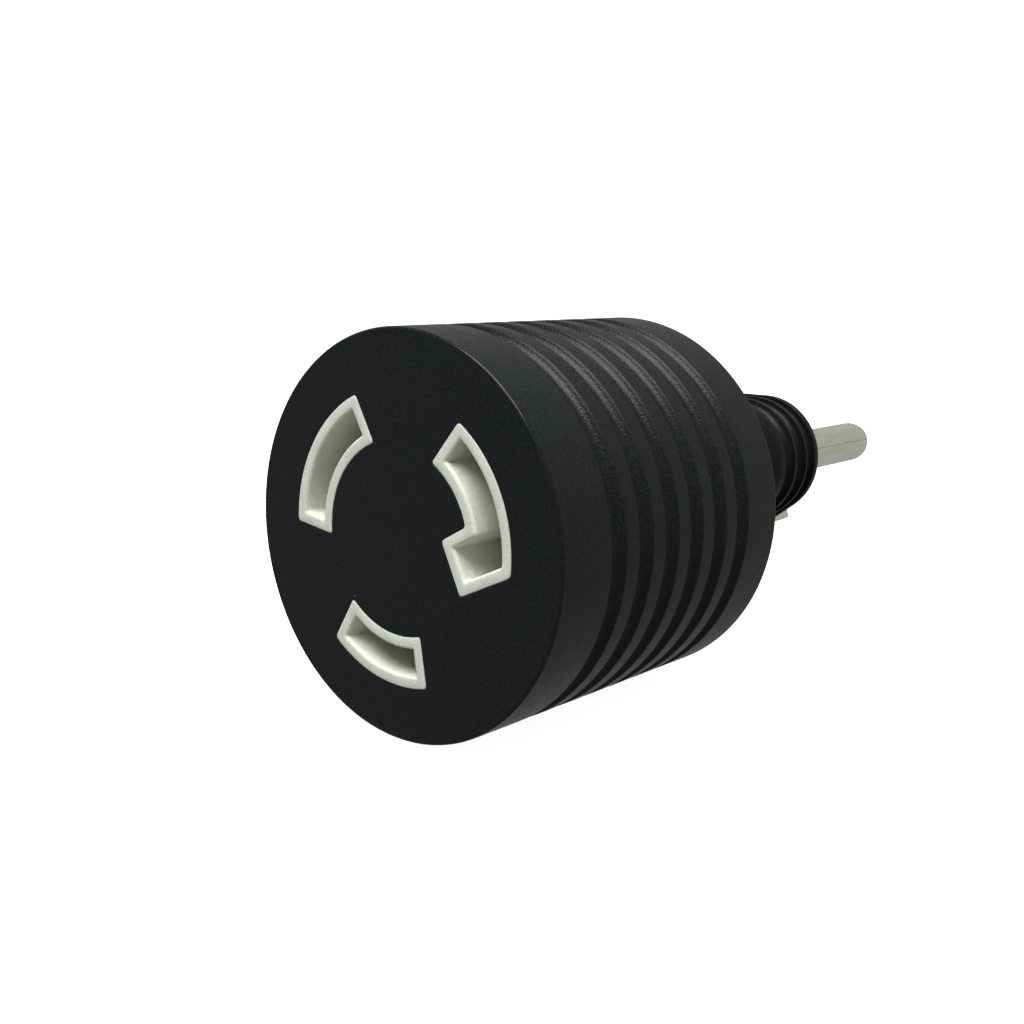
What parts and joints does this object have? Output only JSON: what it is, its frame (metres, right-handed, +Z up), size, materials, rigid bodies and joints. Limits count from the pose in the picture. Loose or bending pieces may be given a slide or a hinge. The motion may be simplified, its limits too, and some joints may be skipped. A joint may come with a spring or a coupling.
{
  "type": "locking receptacle power adapter",
  "caption": "Round moulded adapter: a face with three curved locking slots, a finger-grooved body and a ribbed neck ending in a three-prong straight-blade plug.",
  "frame": {"origin": "centre of the receptacle face", "axes": "+Y along the body from the receptacle face to the plug, +Z up with the adapter lying on its side, +X to the right seen from in front of the receptacle face"},
  "size_m": [0.0412, 0.079, 0.0412],
  "materials": {
    "black_pvc": "matte moulded PVC",
    "ivory_nylon": "satin moulded nylon",
    "plated_metal": "nickel-plated brass",
    "brass_strip": "bare brass strip",
    "spring_steel": "plain spring steel",
    "copper_wire": "bare copper",
    "green_insulation": "wire insulation",
    "white_insulation": "wire insulation",
    "black_insulation": "wire insulation",
    "dark_nylon": "moulded nylon"
  },
  "bodies": {
    "root": {"overmoulded_jacket": "black_pvc", "receptacle_core": "ivory_nylon", "receptacle_rear_cover": "ivory_nylon", "interior_rivet": "plated_metal", "neutral_contact": "brass_strip", "neutral_contact_spring": "spring_steel", "hot_contact": "brass_strip", "hot_contact_spring": "spring_steel", "ground_contact": "brass_strip", "ground_contact_spring": "spring_steel", "ground_conductor": "copper_wire", "ground_insulation": "green_insulation", "neutral_conductor": "copper_wire", "neutral_insulation": "white_insulation", "hot_conductor": "copper_wire", "hot_insulation": "black_insulation", "plug_bridge": "dark_nylon", "hot_blade": "plated_metal", "neutral_blade": "plated_metal", "ground_pin": "plated_metal"}
  },
  "joints": []
}
